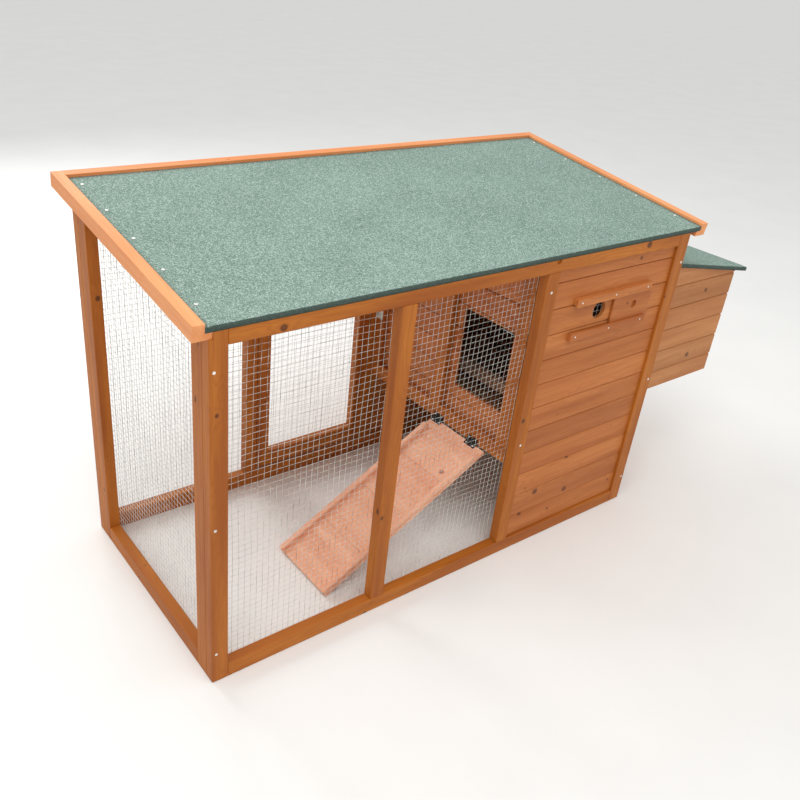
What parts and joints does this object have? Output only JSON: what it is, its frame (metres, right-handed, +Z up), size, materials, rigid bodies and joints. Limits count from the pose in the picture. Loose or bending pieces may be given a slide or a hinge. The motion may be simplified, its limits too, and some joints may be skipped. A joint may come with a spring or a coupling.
{
  "type": "chicken coop with run and nest box",
  "caption": "Lean-to wooden chicken coop with a wire mesh run, raised hen house, ramp, sliding vent and a nest box with a hinged felt lid.",
  "frame": {"origin": "On the ground, at the centre of the footprint of the whole coop, nest box and roof overhang included.", "axes": "+X along the front from the run towards the nest box, +Y from the front (the low side of the roof) towards the back with the run door, +Z up"},
  "size_m": [1.9982, 0.7351, 1.0288],
  "materials": {
    "frame_timber": "honey orange stained planed softwood, satin",
    "shiplap_boards": "honey orange stained shiplap, satin",
    "inside_timber": "pale sawn softwood, matt",
    "vent_timber": "honey orange stained planed softwood, satin",
    "roof_timber": "orange stained planed softwood, satin",
    "deck_board": "plain softwood board, matt",
    "green_mineral_felt": "grey green mineral surfaced roofing felt, gritty",
    "ramp_timber": "pinkish brown stained softwood, satin",
    "wire_mesh": "galvanised square welded wire netting, dull",
    "black_hinges": "black lacquered steel, satin",
    "black_bolt": "black lacquered steel, satin",
    "zinc_steel": "zinc plated steel, dull",
    "felt_nail_heads": "large galvanised clout nail heads"
  },
  "bodies": {
    "coop": {"front_stiles": "frame_timber", "front_posts": "frame_timber", "front_rail_bottom": "frame_timber", "front_rail_top": "frame_timber", "left_stiles": "frame_timber", "right_stiles": "frame_timber", "side_rails_bottom": "frame_timber", "left_rail_top": "frame_timber", "right_rail_top": "frame_timber", "back_stiles": "frame_timber", "back_posts": "frame_timber", "back_rail_bottom": "frame_timber", "back_rail_top": "frame_timber", "nest_opening_rails": "frame_timber", "partition_stiles": "frame_timber", "partition_rail_bottom": "frame_timber", "house_front_boards": "shiplap_boards", "house_back_boards": "shiplap_boards", "house_right_boards": "shiplap_boards", "partition_boards": "shiplap_boards", "nest_side_boards": "shiplap_boards", "nest_end_boards": "shiplap_boards", "house_floor": "inside_timber", "floor_bearers": "inside_timber", "perch": "inside_timber", "perch_blocks": "inside_timber", "nest_floor": "inside_timber", "nest_corner_posts": "inside_timber", "nest_divider": "inside_timber", "vent_runners": "vent_timber", "roof_side_battens": "roof_timber", "roof_batten_back": "roof_timber", "roof_deck": "deck_board", "roof_felt": "green_mineral_felt", "front_mesh": "wire_mesh", "left_mesh": "wire_mesh", "back_mesh": "wire_mesh", "vent_mesh": "wire_mesh", "ramp_hinges_fixed": "black_hinges", "lid_hinges_fixed": "black_hinges", "run_door_hinges_fixed": "black_hinges", "door_bolt_keeper": "black_bolt", "frame_screws": "zinc_steel", "vent_nails": "zinc_steel", "partition_bracket": "zinc_steel", "felt_nails": "felt_nail_heads"},
    "ramp": {"ramp_boards": "ramp_timber", "ramp_battens": "ramp_timber", "ramp_hinges_moving": "black_hinges"},
    "slider": {"vent_slider": "vent_timber"},
    "lid": {"nest_lid_board": "deck_board", "nest_lid_felt": "green_mineral_felt", "lid_hinges_moving": "black_hinges"},
    "run_door": {"run_door_stiles": "frame_timber", "run_door_rails": "frame_timber", "run_door_mesh": "wire_mesh", "run_door_hinges_moving": "black_hinges", "door_bolt_plate": "black_bolt"},
    "bolt": {"door_bolt": "black_bolt"}
  },
  "joints": [
    {"name": "ramp_lift", "type": "hinge", "parent": "coop", "child": "ramp", "pos_m": [-0.0413, -0.1425, 0.306], "axis": [0, 1, 0], "range_deg": [0, 100]},
    {"name": "vent_slide", "type": "slide", "parent": "coop", "child": "slider", "axis": [-1, 0, 0], "range_m": [0, 0.11]},
    {"name": "lid_lift", "type": "hinge", "parent": "coop", "child": "lid", "pos_m": [0.5371, -0.014, 0.8093], "axis": [0, -1, 0], "range_deg": [0, 60]},
    {"name": "run_door_swing", "type": "hinge", "parent": "coop", "child": "run_door", "pos_m": [-0.0518, 0.3367, 0.497], "axis": [0, 0, -1], "range_deg": [0, 110]},
    {"name": "bolt_slide", "type": "slide", "parent": "run_door", "child": "bolt", "axis": [-1, 0, 0], "range_m": [0, 0.014]}
  ]
}
